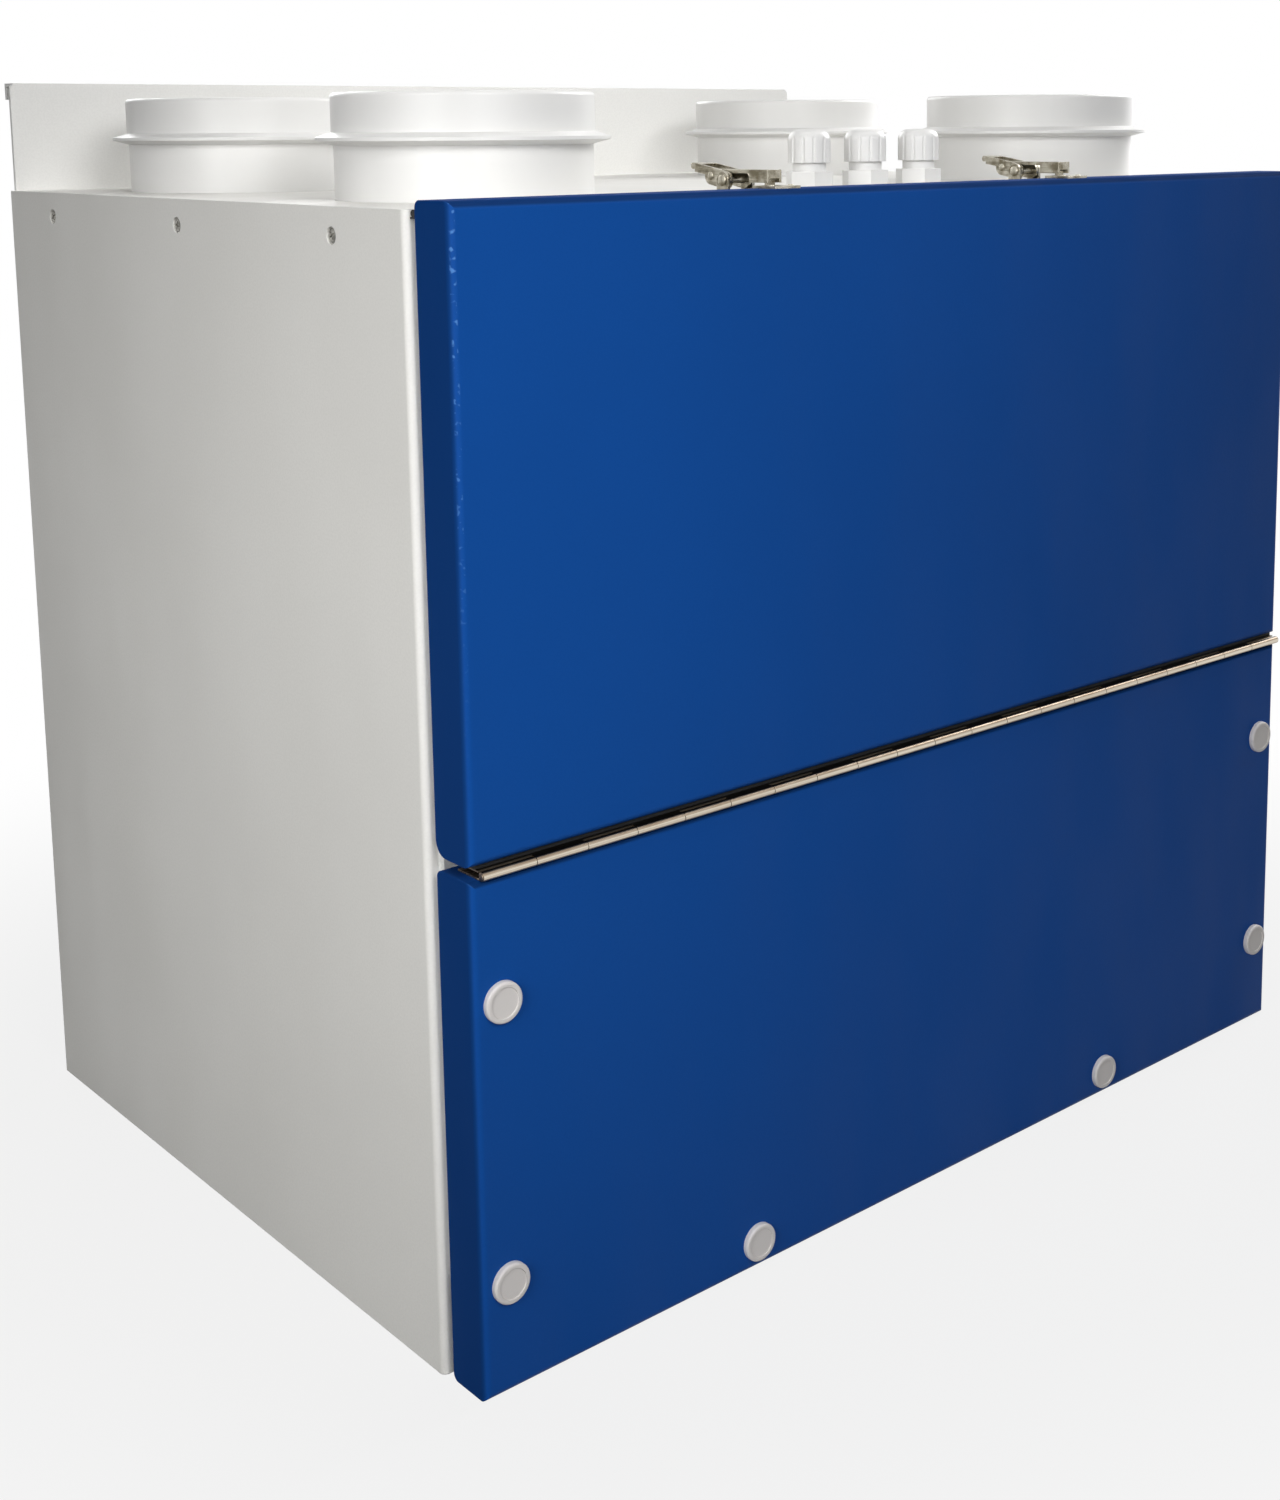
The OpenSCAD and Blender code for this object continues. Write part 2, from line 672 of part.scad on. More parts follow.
// Latch lever: two side links on the pivot, the hook's pin between them and a raised handle
module latch_lever(hand) {
  side = lever_w / 2 - latch_t / 2;
  pin_half = lever_w / 2;
  color("silver") translate([hand * latch_x, 0, 0]) difference() {
    union() {
      for (h = hands) translate([h * side, 0, 0]) along_x(-latch_t / 2, latch_t / 2) {
        link([lever_y, lever_z], [hook_pin_y, hook_pin_z], lever_boss_r);
        translate([hook_pin_y, hook_pin_z]) rotate(handle_tilt)
          square([lever_boss_r + handle_l - handle_roll, lever_boss_r]);
      }
      along_x(-pin_half, pin_half) translate([hook_pin_y, hook_pin_z]) rotate(handle_tilt) {
        translate([lever_boss_r + hook_eye_r + web_gap, lever_boss_r - latch_t])
          square([handle_l - hook_eye_r - web_gap, latch_t]);
        translate([lever_boss_r + handle_l, lever_boss_r - handle_roll]) circle(handle_roll);
      }
      translate([-pin_half, hook_pin_y, hook_pin_z]) rotate([0, 90, 0])
        cylinder(r = hook_pin_r, h = 2 * pin_half, $fn = 32);
    }
    translate([-lever_w, lever_y, lever_z]) rotate([0, 90, 0])
      cylinder(r = pivot_r + pin_clear, h = 2 * lever_w, $fn = 32);
  }
}

// Latch hook: an eye on the lever's pin, a bar over the pivot, a claw above the keeper, two side cheeks
module latch_hook(hand) {
  color("silver") translate([hand * latch_x, 0, 0]) difference() {
    union() {
      along_x(-hook_w / 2, hook_w / 2) {
        translate([hook_pin_y, hook_pin_z]) circle(hook_eye_r);
        translate([claw_y, bar_z]) square([hook_pin_y - claw_y, hook_bar_t]);
        translate([claw_y, claw_z]) square([hook_bar_t, claw_h + hook_bar_t]);
      }
      for (h = hands) translate([h * (hook_w - cheek_t) / 2, 0, 0])
        span([-cheek_t / 2, claw_y, cheek_z], [cheek_t / 2, claw_y + cheek_l, bar_z + hook_bar_t]);
    }
    translate([-hook_w, hook_pin_y, hook_pin_z]) rotate([0, 90, 0])
      cylinder(r = hook_pin_r + pin_clear, h = 2 * hook_w, $fn = 32);
  }
}

// Keeper on the door's top edge: a plate with an upright lip
module latch_keeper(hand) {
  color("silver") translate([hand * latch_x, 0, 0]) {
    span([-keeper_w / 2, keeper_rear - keeper_l, door_top], [keeper_w / 2, keeper_rear, door_top + latch_t]);
    span([-lip_half, lip_y - latch_t, door_top], [lip_half, lip_y, lip_top]);
  }
}

// Square prism of the exchanger from y0 to y1, standing on one edge, its sides set in by inset
module core_block(y0, y1, inset) {
  translate([0, core_y + y0, core_z]) rotate([-90, 0, 0]) linear_extrude(y1 - y0)
    rotate(45) square(core_side - 2 * inset, center = true);
}

// Cross-flow plate exchanger: a stack of plates between two end plates, with air slots between them
module exchanger_core() {
  stack = core_l - 2 * end_plate - plate_slot;
  count = floor(stack / plate_pitch);
  pitch = stack / count;
  color("silver") {
    core_block(0, core_l, plate_slot_d);
    core_block(0, end_plate, 0);
    core_block(core_l - end_plate, core_l, 0);
    for (k = [0:count - 1]) core_block(
      end_plate + plate_slot + k * pitch, end_plate + (k + 1) * pitch, 0);
  }
}

// Notched rail that seats an edge of the exchanger
module rail(z, up) {
  rail_h = core_z - core_half - deck_z + rail_half / 2;
  color("gray") translate([0, core_y, z]) mirror([0, 0, up ? 0 : 1]) translate([0, core_l, 0])
    rotate([90, 0, 0]) linear_extrude(core_l) difference() {
      translate([-rail_half, 0]) square([2 * rail_half, rail_h]);
      translate([0, core_z - deck_z]) rotate(45) square(core_side, center = true);
    }
}

module exchanger_rail_lower() {
  rail(deck_z, true);
}

module exchanger_rail_upper() {
  rail(room_top, false);
}

// Filter cassette: a frame with its medium set back on both faces
module filter(hand) {
  color("ghostwhite") translate([hand * (filter_x + filter_t / 2), core_y, deck_z]) difference() {
    translate([-filter_t / 2, 0, 0]) cube([filter_t, core_l, filter_h]);
    for (h = hands) translate([h * filter_t / 2 - filter_dish, filter_frame, filter_frame])
      cube([2 * filter_dish, core_l - 2 * filter_frame, filter_h - 2 * filter_frame]);
  }
}

side_panel(-1);  // left_side_panel
side_panel(1);  // right_side_panel
back_panel();
top_panel();
bottom_panel();
deck_panel();
lower_insulation();
side_insulation(-1);  // left_insulation
side_insulation(1);  // right_insulation
back_insulation();
top_insulation_side(-1);  // top_insulation_left
top_insulation_middle();
top_insulation_side(1);  // top_insulation_right
wall_bracket();
lower_front_panel();
lower_panel_insulation();
panel_seal();
door_seal();
for (i = [0:5]) screw_cap(i);
for (i = [0:3]) spigot(i);
for (i = [0:2]) cable_gland(i - 1);
hinge_leaf_fixed();
hinge_leaf_moving();
hinge_pin();
service_door();
door_insulation();
seam_seal();
for (i = [0:1]) latch_base(hands[i]);
for (i = [0:1]) latch_lever(hands[i]);
for (i = [0:1]) latch_hook(hands[i]);
for (i = [0:1]) latch_keeper(hands[i]);
exchanger_core();
exchanger_rail_lower();
exchanger_rail_upper();
for (i = [0:1]) filter(hands[i]);
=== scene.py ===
"""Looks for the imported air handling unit: finishes, small fasteners, light and camera."""
import json
import math

import bmesh
import bpy
from mathutils import Matrix, Vector


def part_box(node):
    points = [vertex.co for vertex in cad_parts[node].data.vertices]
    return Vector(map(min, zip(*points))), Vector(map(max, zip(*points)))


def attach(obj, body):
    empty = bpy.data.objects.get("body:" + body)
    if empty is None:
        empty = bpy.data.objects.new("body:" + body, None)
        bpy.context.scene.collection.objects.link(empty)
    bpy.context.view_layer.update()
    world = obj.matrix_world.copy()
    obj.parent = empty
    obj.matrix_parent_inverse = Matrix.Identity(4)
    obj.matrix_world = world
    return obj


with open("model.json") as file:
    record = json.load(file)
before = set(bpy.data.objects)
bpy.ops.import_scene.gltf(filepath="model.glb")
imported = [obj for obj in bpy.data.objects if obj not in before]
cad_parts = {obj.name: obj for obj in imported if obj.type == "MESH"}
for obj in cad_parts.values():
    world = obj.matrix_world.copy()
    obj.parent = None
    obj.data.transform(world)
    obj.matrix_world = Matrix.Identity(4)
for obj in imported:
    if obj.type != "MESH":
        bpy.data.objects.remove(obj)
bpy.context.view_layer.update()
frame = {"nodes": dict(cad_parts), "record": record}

MM = 0.001
NODES = frame["nodes"]
WHITE = (1.0, 1.0, 1.0, 1.0)

# Camera, from a fit to the box's corners in the photo; the shift is kept small for other views
CAMERA_PLACE = (-0.753, -0.9297, 0.5615)
CAMERA_TURN = (81.324, 0.424, -42.098)
CAMERA_LENS = 48.733
CAMERA_SENSOR = 36.0
CAMERA_SHIFT = (-0.09, -0.21)

# Lamps: place, target, size in metres, power in watts and spread in degrees
LAMPS = {
    "front": ((-0.55, -1.05, 0.90), (-0.10, -0.20, 0.40), 0.50, 0.5, 180),
    "key": ((-0.50, -1.15, 0.95), (-0.34, -0.20, 0.38), 0.50, 1.52, 72),
    "spigots": ((-0.10, -1.30, 1.10), (0.10, 0.0, 0.70), 0.30, 0.20, 34),
    "left": ((-1.30, -0.60, 0.85), (-0.30, -0.22, 0.38), 0.70, 1.34, 70),
    "left_low": ((-1.20, -0.75, 0.35), (-0.28, -0.24, 0.20), 0.60, 0.30, 60),
    "overhead": ((0.0, 0.0, 1.80), (0.0, 0.0, 0.50), 1.00, 3.4, 180),
    "right": ((1.80, 0.25, 0.85), (0.0, 0.0, 0.50), 1.10, 4.0, 180),
    "right_high": ((1.30, -0.20, 1.30), (0.10, 0.0, 0.55), 0.80, 16.0, 180),
    "back": ((0.30, 1.90, 1.20), (0.0, 0.0, 0.40), 1.10, 15.0, 180),
}
WORLD_LEVEL = 0.01

# Floor: half its width and the distances of the fade to white, in metres, and its own look
FLOOR_HALF = 14.0
FLOOR_FADE = (0.36, 0.85)
FLOOR_COLOUR = (0.30, 0.30, 0.297, 1.0)
FLOOR_ROUGH = 0.9
FLOOR_LIFT = 0.84

# Sizes of the added pieces, in millimetres; a head is its radius and height
SHEET_T = 1.5
SIDE_SCREW_HEAD = (3.5, 1.3)
SIDE_SCREW_BACK = (60.0, 209.0, 358.0)
SIDE_SCREW_DROP = 13.0
BRACKET_T = 2.0
BRACKET_RIVETS = 6
BRACKET_RIVET_HEAD = (3.6, 1.5)
BRACKET_RIVET_UP = 45.0
BRACKET_RIVET_END = 40.0
GASKET_END = 1.5
GASKET_R = 1.6
GASKET_FOOT = (2.1, 0.7)
CORE_FRAME_W = 15.0
CORE_FRAME_T = 1.6

# Latch rivets, in millimetres; out is the distance from the latch's middle
LATCH_SHEET_T = 1.4
LATCH_PIVOT = (10.0, 7.5)
LATCH_LINK = (11.0, 2.0)
PIVOT_HEAD, PIVOT_OUT = (2.7, 1.0), 8.5
PIN_HEAD, PIN_OUT = (2.0, 0.7), 6.5
PLATE_HEAD, PLATE_OUT, PLATE_IN = (2.4, 0.8), 6.5, 5.0
KEEPER_HEAD, KEEPER_OUT, KEEPER_IN = (1.4, 0.6), 6.2, 5.0

# Filter cassettes, in millimetres
FILTER_EDGE = 14.0
FILTER_DISH = 4.0
PLEAT_PITCH = 8.5
PLEAT_RISE = 3.2
PLEAT_VALLEY = 0.5

# Turn of the first side screw's cross and the step to the next, in radians
SCREW_SPIN = (0.5, 0.8)
# Cross recess: length and half width as shares of the head's radius, floor as share of its height
CROSS_ARM, CROSS_HALF, CROSS_FLOOR = 0.62, 0.14, 0.35
# Start and sweep of the gasket's bulb, in degrees, and its steps
GASKET_ARC, GASKET_STEPS = (-60.0, 300.0), 16

# The values that a noise texture takes over most of a surface
MOST = (0.3, 0.7)

# Painted sheet
CLOUDS, CLOUD_TONES = (7.0, 4.0), (0.978, 1.022)
SPECKS, SPECK_RANGE = (900.0, 1.0), (0.35, 0.68)
SPECK_TONE, SPECK_SHARE = 0.90, 0.3
# Lighter edges, part rub wear and part painted highlight
RUB_HIGHLIGHT_NOISE, RUB_HIGHLIGHT_RANGE = (120.0, 4.0), (0.42, 0.62)
RUB_HIGHLIGHT_RADIUS, RUB_HIGHLIGHT_SHARE = 0.9 * MM, 0.55
SMEARS, COAT_ROUGH = (22.0, 5.0, (1.0, 1.0, 0.3)), (0.40, 0.54)
SHEET_WAVES, WAVE_BUMP = (14.0, 2.0), (0.06, 1.2 * MM)
ORANGE_PEEL, PEEL_DEPTH = (620.0, 2.0), 0.22 * MM
COAT_ROUNDING = 0.7 * MM

# Folds of the blue panels, which get painted shade on their sides and upper bends and painted
# highlight glints on their upright bends; ranges are squares of the normal's part, or the part
# itself for rises
FOLD_RANGE, FOLD_ROUGH = (0.7, 0.1), 0.4
RISE_START, RISE_END, RISE_SHADE = (0.08, 0.5), (0.998, 0.95), 0.4
BEND_START, BEND_END, BEND_UPRIGHT = (0.25, 0.5), (0.99, 0.9), (0.05, 0.0)
# Painted highlight: lighter blue glint specks along the upright bends, fading in with height.
GLINTS, GLINT_RANGE, GLINT_SHARE = (380.0, 1.0), (0.57, 0.69), 0.65
GLINT_COLOUR = (0.10, 0.27, 0.62)
GLINT_FADE = (0.27, 0.50)

# Heights between which the hinge turns near-black, as painted shade in the joint under the door,
# in metres
HINGE_JOINT_SHADE = (0.2452, 0.2464)


def tone(colour, share=1.0):
    """Shader colour: the given one times a share."""
    return (*(share * part for part in colour), 1.0)


class Finish:
    """A Principled material whose textures follow the piece's own coordinates."""

    def __init__(self, name, values=None):
        self.material = bpy.data.materials.new(name)
        self.material.use_nodes = True
        tree = self.material.node_tree
        self.nodes = tree.nodes
        self.links = tree.links
        self.shader = self.nodes["Principled BSDF"]
        for socket, value in (values or {}).items():
            self.shader.inputs[socket].default_value = value
        self.place = self.add("ShaderNodeTexCoord").outputs["Object"]

    def add(self, kind, inputs=None, **settings):
        """New node with its settings, and its inputs linked or set."""
        node = self.nodes.new(kind)
        for key, value in settings.items():
            setattr(node, key, value)
        for key, value in (inputs or {}).items():
            if isinstance(value, bpy.types.NodeSocket):
                self.links.new(value, node.inputs[key])
            else:
                node.inputs[key].default_value = value
        return node

    def stretched(self, stretch):
        inputs = {"Vector": self.place, "Scale": stretch}
        return self.add("ShaderNodeMapping", inputs).outputs["Vector"]

    def noise(self, scale, detail=2.0, stretch=None):
        place = self.stretched(stretch) if stretch else self.place
        inputs = {"Vector": place, "Scale": scale, "Detail": detail}
        return self.add("ShaderNodeTexNoise", inputs).outputs["Fac"]

    def cells(self, scale):
        inputs = {"Vector": self.place, "Scale": scale}
        return self.add("ShaderNodeTexVoronoi", inputs).outputs["Distance"]

    def ramp(self, value, low, high, to_low=0.0, to_high=1.0):
        inputs = {"Value": value, "From Min": low, "From Max": high,
                  "To Min": to_low, "To Max": to_high}
        node = self.add("ShaderNodeMapRange", inputs, interpolation_type="SMOOTHSTEP")
        return node.outputs["Result"]

    def math(self, operation, first, second):
        inputs = {0: first, 1: second}
        return self.add("ShaderNodeMath", inputs, operation=operation).outputs[0]

    def times(self, first, second):
        return self.math("MULTIPLY", first, second)

    def plus(self, first, second):
        return self.math("ADD", first, second)

    def mix(self, factor, low, high):
        inputs = {0: factor, 6: low, 7: high}
        return self.add("ShaderNodeMix", inputs, data_type="RGBA").outputs[2]

    def rounding(self, radius):
        return self.add("ShaderNodeBevel", {"Radius": radius}, samples=6).outputs["Normal"]

    def edges(self, radius, sharp=0.06):
        """1 where the surface turns within radius, 0 on flat areas."""
        flat = self.add("ShaderNodeNewGeometry").outputs["True Normal"]
        inputs = {0: self.rounding(radius), 1: flat}
        turn = self.add("ShaderNodeVectorMath", inputs, operation="DOT_PRODUCT")
        return self.ramp(turn.outputs["Value"], 1.0, 1.0 - sharp)

    def normal_part(self, axis):
        """The part of the piece's own normal along one of its axes; it turns with the piece."""
        normal = self.add("ShaderNodeTexCoord").outputs["Normal"]
        return self.add("ShaderNodeSeparateXYZ", {"Vector": normal}).outputs[axis]

    def turned(self, axis, low, high):
        """Rises from 0 to 1 as the square of the normal's part goes from low to high."""
        part = self.normal_part(axis)
        return self.ramp(self.times(part, part), low, high)

    def height(self, low, high):
        """Rises from 0 to 1 between two heights, in metres."""
        place = self.add("ShaderNodeSeparateXYZ", {"Vector": self.place})
        return self.ramp(place.outputs["Z"], low, high)

    def relief(self, layers, radius):
        """Stacks bump layers of (height, strength, distance) on edges rounded to radius."""
        normal = self.rounding(radius)
        for height, strength, distance in layers:
            inputs = {"Height": height, "Strength": strength,
                      "Distance": distance, "Normal": normal}
            normal = self.add("ShaderNodeBump", inputs).outputs["Normal"]
        self.wire("Normal", normal)

    def wire(self, socket, value):
        self.links.new(value, self.shader.inputs[socket])


def paint_fold_shade_and_glints(finish, base, rough, colour, fold_shade_share):
    """Painted shade on folded sides and upper bends, which are also made duller, and painted
    highlight glints along the upright bends.
    """
    folded = finish.turned("Y", *FOLD_RANGE)
    rise = finish.normal_part("Z")
    upward = finish.times(finish.ramp(rise, *RISE_START), finish.ramp(rise, *RISE_END))
    # Painted shade: a darker copy of the paint colour on folded sides and upper bends.
    base = finish.mix(folded, base, tone(colour, fold_shade_share))
    base = finish.mix(upward, base, tone(colour, RISE_SHADE))
    # Painted highlight: glint specks along the upright bends, strongest high up.
    bend = finish.times(finish.turned("Y", *BEND_START), finish.turned("Y", *BEND_END))
    glints = finish.times(bend, finish.ramp(finish.noise(*GLINTS), *GLINT_RANGE))
    glints = finish.times(finish.turned("Z", *BEND_UPRIGHT), glints)
    glints = finish.times(glints, finish.height(*GLINT_FADE))
    base = finish.mix(finish.times(glints, GLINT_SHARE), base, tone(GLINT_COLOUR))
    for part in (folded, upward):
        rough = finish.plus(rough, finish.times(part, FOLD_ROUGH))
    return base, rough


def powder_coat(name, colour, worn_and_highlit, values=None, peel=0.22, fold_shade_share=1.0):
    """Painted sheet: orange peel, faint clouds and specks, lighter edges that are part rub wear
    and part painted highlight, and for a fold share below 1 painted shade and glints on the
    folds.
    """
    finish = Finish(name, values)
    clouds = finish.ramp(finish.noise(*CLOUDS), *MOST)
    base = finish.mix(clouds, *(tone(colour, share) for share in CLOUD_TONES))
    specks = finish.ramp(finish.noise(*SPECKS), *SPECK_RANGE)
    base = finish.mix(finish.times(specks, SPECK_SHARE), base, tone(colour, SPECK_TONE))
    rough = finish.ramp(finish.noise(*SMEARS), *MOST, *COAT_ROUGH)
    # For a share below 1, the folds get painted shade and painted glints.
    if fold_shade_share < 1.0:
        base, rough = paint_fold_shade_and_glints(finish, base, rough, colour, fold_shade_share)
    # Lighter edges: part rub wear, part painted highlight.
    rub_highlight_patches = finish.ramp(finish.noise(*RUB_HIGHLIGHT_NOISE), *RUB_HIGHLIGHT_RANGE)
    rubbed_and_highlit = finish.times(finish.edges(RUB_HIGHLIGHT_RADIUS), rub_highlight_patches)
    finish.wire("Base Color", finish.mix(finish.times(rubbed_and_highlit, RUB_HIGHLIGHT_SHARE), base, tone(worn_and_highlit)))
    finish.wire("Roughness", rough)
    layers = [(finish.noise(*SHEET_WAVES), *WAVE_BUMP),
              (finish.noise(*ORANGE_PEEL), peel, PEEL_DEPTH)]
    finish.relief(layers, COAT_ROUNDING)
    return finish.material


def moulded(name, colour, rough):
    """Injection-moulded plastic: fine spark texture and faint flow shading."""
    finish = Finish(name)
    flow = finish.ramp(finish.noise(18.0, 3.0, (1.0, 1.0, 0.25)), *MOST)
    finish.wire("Base Color", finish.mix(flow, tone(colour, 0.955), tone(colour, 1.02)))
    gloss = finish.ramp(finish.noise(60.0, 3.0), *MOST, rough - 0.03, rough + 0.04)
    finish.wire("Roughness", gloss)
    finish.relief([(finish.noise(1500.0, 2.0), 0.06, 0.05 * MM)], 0.4 * MM)
    return finish.material


def foam(name, colour):
    """Open-cell insulation foam."""
    finish = Finish(name, {"Specular IOR Level": 0.2})
    cells = finish.cells(620.0)
    patch = finish.ramp(finish.noise(24.0, 4.0), *MOST, 0.85, 1.0)
    light = finish.times(finish.ramp(cells, 0.1, 0.7), patch)
    finish.wire("Base Color", finish.mix(light, tone(colour, 0.55), tone(colour, 1.15)))
    finish.wire("Roughness", finish.ramp(cells, 0.0, 0.7, 0.95, 0.8))
    layers = [(finish.noise(45.0, 3.0), 0.25, 1.0 * MM), (cells, 0.5, 0.6 * MM)]
    finish.relief(layers, 1.2 * MM)
    return finish.material


def rubber(name, colour, scale):
    """Cellular seal or rubber with a dusty, uneven skin."""
    finish = Finish(name, {"Specular IOR Level": 0.3})
    skin = finish.noise(scale, 3.0)
    dust = finish.ramp(finish.noise(40.0, 4.0), 0.35, 0.75, 0.0, 0.35)
    base = finish.mix(finish.ramp(skin, *MOST), tone(colour, 0.9), tone(colour, 1.05))
    dusty = tone([0.9 * part + 0.02 for part in colour])
    finish.wire("Base Color", finish.mix(dust, base, dusty))
    finish.wire("Roughness", finish.ramp(skin, *MOST, 0.62, 0.8))
    finish.relief([(skin, 0.35, 0.3 * MM)], 0.5 * MM)
    return finish.material


def hinge_metal(name, light, dark, joint_shade, rough):
    """Drawn barrel: painted highlight along its middle, patchy painted shade towards its upper
    and lower edges, and near-black painted shade in the joint above.
    """
    finish = Finish(name, {"Metallic": 1.0})
    lines = finish.noise(1.0, 3.0, (6.0, 900.0, 900.0))
    spots = finish.ramp(finish.noise(90.0, 4.0), *MOST, 0.75, 1.0)
    # Painted shade: darker where the barrel turns away from the front, leaving a painted
    # highlight along its middle.
    barrel_shade = finish.times(finish.turned("Y", 0.985, 0.72), spots)
    base = finish.mix(barrel_shade, tone(light), tone(dark))
    drawn = finish.times(finish.ramp(lines, 0.35, 0.7), 0.3)
    base = finish.mix(drawn, base, tone(dark, 0.7))
    # Painted shade: near-black above the barrel, in the joint under the door.
    finish.wire("Base Color", finish.mix(finish.height(*HINGE_JOINT_SHADE), base, tone(joint_shade)))
    finish.wire("Roughness", finish.ramp(lines, *MOST, rough, rough + 0.12))
    finish.relief([(lines, 0.10, 0.08 * MM)], 0.25 * MM)
    return finish.material


def drawn_metal(name, light, dark, rough, grain):
    """Plated or drawn metal: grain along the piece, tarnished patches, and edges lighter as
    painted highlight.
    """
    finish = Finish(name, {"Metallic": 1.0})
    lines = finish.noise(1.0, 3.0, grain)
    patch = finish.ramp(finish.noise(160.0, 4.0), 0.35, 0.68)
    base = finish.mix(patch, tone(light), tone(dark))
    drawn = finish.times(finish.ramp(lines, 0.35, 0.7), 0.45)
    base = finish.mix(drawn, base, tone(dark, 0.6))
    # Painted highlight: edges lighter than the metal.
    bright = tone([min(1.0, 1.25 * part) for part in light])
    edges = finish.times(finish.edges(0.4 * MM), 0.5)
    finish.wire("Base Color", finish.mix(edges, base, bright))
    finish.wire("Roughness", finish.ramp(lines, *MOST, rough, rough + 0.14))
    finish.relief([(lines, 0.14, 0.1 * MM)], 0.25 * MM)
    return finish.material


def plate_stack(name, colour):
    """Rolled aluminium of the exchanger: tones from plate to plate, fine rolling lines."""
    finish = Finish(name, {"Metallic": 0.85})
    plates = finish.ramp(finish.noise(1.0, 1.0, (2.0, 160.0, 2.0)), *MOST)
    cloud = finish.ramp(finish.noise(30.0, 3.0), *MOST)
    base = finish.mix(plates, tone(colour, 0.80), tone(colour))
    base = finish.mix(finish.times(cloud, 0.5), base, tone(colour, 0.86))
    finish.wire("Base Color", base)
    lines = finish.noise(1.0, 2.0, (30.0, 1400.0, 30.0))
    finish.wire("Roughness", finish.ramp(lines, *MOST, 0.28, 0.44))
    finish.relief([(lines, 0.2, 0.2 * MM)], 0.4 * MM)
    return finish.material


def fleece(name, colour):
    """Filter fleece: matted fibres with a little collected dust."""
    finish = Finish(name, {"Specular IOR Level": 0.15, "Sheen Weight": 0.15})
    fibres = finish.noise(520.0, 5.0, (1.0, 0.35, 1.0))
    dust = finish.ramp(finish.noise(28.0, 4.0), 0.4, 0.75, 0.0, 0.5)
    base = finish.mix(finish.ramp(fibres, *MOST), tone(colour, 0.82), tone(colour))
    finish.wire("Base Color", finish.mix(dust, base, tone(colour, 0.72)))
    finish.wire("Roughness", finish.ramp(fibres, *MOST, 0.85, 0.98))
    finish.relief([(fibres, 0.5, 0.4 * MM)], 0.4 * MM)
    return finish.material


# Lighter edge colour of the white paints, part rub wear and part painted highlight
WORN_HIGHLIT_WHITE = (0.80, 0.80, 0.79)
FINISHES = {
    # Each paint's second colour is its lighter edge colour, part rub wear and part painted
    # highlight.
    "white_paint": powder_coat("white_paint", (0.77, 0.76, 0.725), WORN_HIGHLIT_WHITE),
    # Blue paint: painted shade on its folds at 0.55 of its colour, and painted glints on its
    # bends.
    "blue_paint": powder_coat("blue_paint", (0.0038, 0.0635, 0.292), (0.03, 0.12, 0.36),
                              {"Specular IOR Level": 0.08}, fold_shade_share=0.55),
    "foam": foam("foam", (0.30, 0.30, 0.29)),
    "white_seal": rubber("white_seal", (0.82, 0.82, 0.79), 700.0),
    "grey_plastic": moulded("grey_plastic", (0.69, 0.66, 0.64), 0.42),
    "white_plastic": moulded("white_plastic", (0.77, 0.765, 0.75), 0.36),
    # Hinge: light colour is its painted highlight, dark colour its painted shade and drawn lines,
    # near-black the painted shade in the joint.
    "hinge_steel": hinge_metal("hinge_steel", (0.70, 0.63, 0.52), (0.31, 0.235, 0.165),
                               (0.012, 0.010, 0.009), 0.26),
    "black_rubber": rubber("black_rubber", (0.016, 0.016, 0.017), 500.0),
    "zinc": drawn_metal("zinc", (0.56, 0.53, 0.45), (0.20, 0.175, 0.12), 0.24,
                        (700.0, 40.0, 700.0)),
    "core_aluminium": plate_stack("core_aluminium", (0.74, 0.75, 0.76)),
    "rail_plastic": moulded("rail_plastic", (0.045, 0.046, 0.048), 0.5),
    "filter_medium": fleece("filter_medium", (0.78, 0.79, 0.78)),
}
FRAME_FINISH = moulded("filter_frame", (0.66, 0.67, 0.67), 0.5)
# Wall bracket: the casing's white paint made a little lighter and whiter, as painted light, with
# a finer peel.
BRACKET_LIT_PAINT = powder_coat("bracket_lit_paint", (0.79, 0.785, 0.765), WORN_HIGHLIT_WHITE, peel=0.08)
SCREW_FINISH = drawn_metal("screw_steel", (0.36, 0.35, 0.32), (0.14, 0.135, 0.12), 0.32,
                           (500.0, 500.0, 60.0))
NODE_FINISHES = {
    "wall_bracket": BRACKET_LIT_PAINT,
    "filter_left": FRAME_FINISH,
    "filter_right": FRAME_FINISH,
}


def dress_nodes():
    """Gives every CAD node its own finish, or that of its material slot."""
    for part in frame["record"]["subparts"]:
        finish = NODE_FINISHES.get(part["node"], FINISHES[part["material_slot"]])
        for place in NODES[part["node"]].material_slots:
            place.material = finish


def add_piece(name, mesh, body, slot, matrix=None, finish=None):
    """Places a mesh as a named piece on a body, in its own finish or that of a slot."""
    piece = bpy.data.objects.new(name, mesh)
    bpy.context.scene.collection.objects.link(piece)
    if matrix is not None:
        piece.matrix_world = matrix
    mesh.materials.clear()
    mesh.materials.append(finish or FINISHES[slot])
    bpy.context.view_layer.update()
    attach(piece, body)


def mesh_from(name, verts, faces, smooth=False):
    """Mesh with all its faces turned outwards."""
    mesh = bpy.data.meshes.new(name)
    mesh.from_pydata(verts, [], faces)
    shell = bmesh.new()
    shell.from_mesh(mesh)
    bmesh.ops.recalc_face_normals(shell, faces=shell.faces)
    shell.to_mesh(mesh)
    shell.free()
    if smooth:
        mesh.shade_smooth()
    return mesh


